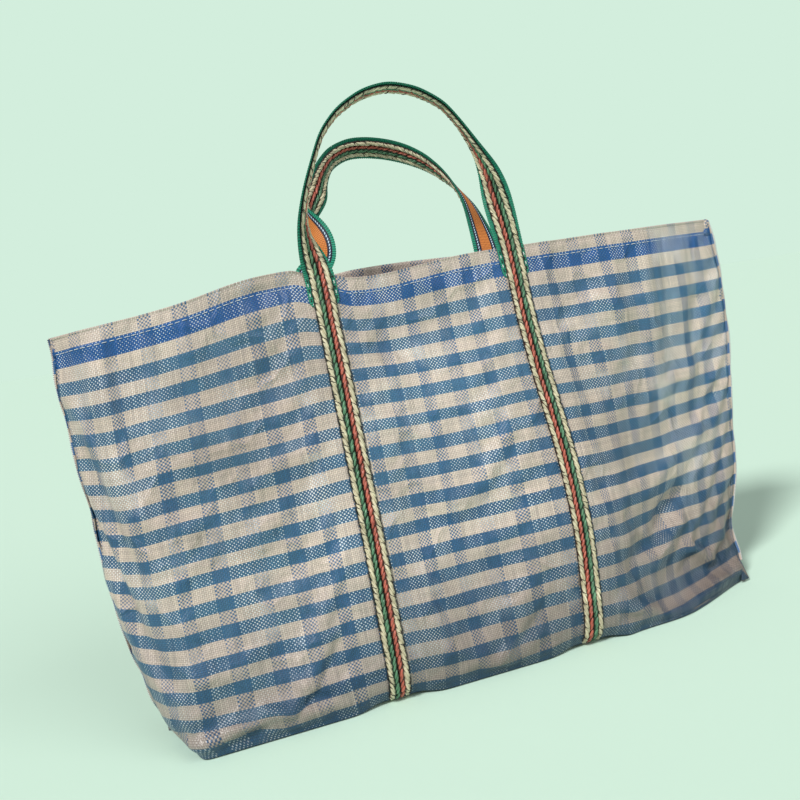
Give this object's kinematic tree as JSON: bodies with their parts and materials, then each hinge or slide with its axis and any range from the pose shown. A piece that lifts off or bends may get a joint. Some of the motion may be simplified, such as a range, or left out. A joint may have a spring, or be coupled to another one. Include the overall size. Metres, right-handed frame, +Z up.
{
  "type": "tote bag",
  "caption": "Large open market tote of blue and cream checked woven plastic cloth, with braided straps that run round the bag and rise into carrying handles.",
  "frame": {"origin": "middle of the bag's floor face, where it rests", "axes": "+X along the bag to the viewer's right, front panel towards -Y, back panel towards +Y, +Z up through the mouth"},
  "size_m": [0.6934, 0.229, 0.5542],
  "materials": {
    "checked_cloth": "woven flat plastic yarn in blue and cream checks, slight sheen",
    "green_braid": "braided fibre, green and cream strands",
    "red_braid": "braided fibre, coral red and cream strands",
    "woven_tape": "ribbed woven tape, green edges with orange and navy bands on its reverse",
    "black_thread": "sewing thread",
    "white_thread": "sewing thread",
    "selvage": "folded cloth edge, overcast"
  },
  "bodies": {
    "bag": {"back_hem": "checked_cloth", "back_hem_stitches": "white_thread", "back_left_tape_end": "woven_tape", "back_panel": "checked_cloth", "back_right_tape_end": "woven_tape", "back_tape_stitches": "black_thread", "bottom_panel": "checked_cloth", "front_hem": "checked_cloth", "front_hem_stitches": "white_thread", "front_left_tape_end": "woven_tape", "front_panel": "checked_cloth", "front_right_tape_end": "woven_tape", "front_tape_stitches": "black_thread", "left_corner_ear": "checked_cloth", "left_side_seam": "selvage", "left_strap_green_braid": "green_braid", "left_strap_left_thread": "black_thread", "left_strap_red_braid": "red_braid", "left_strap_right_thread": "black_thread", "right_corner_ear": "checked_cloth", "right_side_seam": "selvage", "right_strap_green_braid": "green_braid", "right_strap_left_thread": "black_thread", "right_strap_red_braid": "red_braid", "right_strap_right_thread": "black_thread"},
    "front_handle": {"front_handle_edge_threads": "black_thread", "front_handle_green_braid": "green_braid", "front_handle_red_braid": "red_braid", "front_handle_tape": "woven_tape"},
    "back_handle": {"back_handle_edge_threads": "black_thread", "back_handle_green_braid": "green_braid", "back_handle_red_braid": "red_braid", "back_handle_tape": "woven_tape"}
  },
  "joints": [
    {"name": "front_handle_fold", "type": "hinge", "parent": "bag", "child": "front_handle", "pos_m": [0, -0.03164, 0.3915], "axis": [1, 0, 0], "range_deg": [-3.5, 155]},
    {"name": "back_handle_fold", "type": "hinge", "parent": "bag", "child": "back_handle", "pos_m": [0, 0.03164, 0.3915], "axis": [-1, 0, 0], "range_deg": [-40.5, 118]}
  ]
}
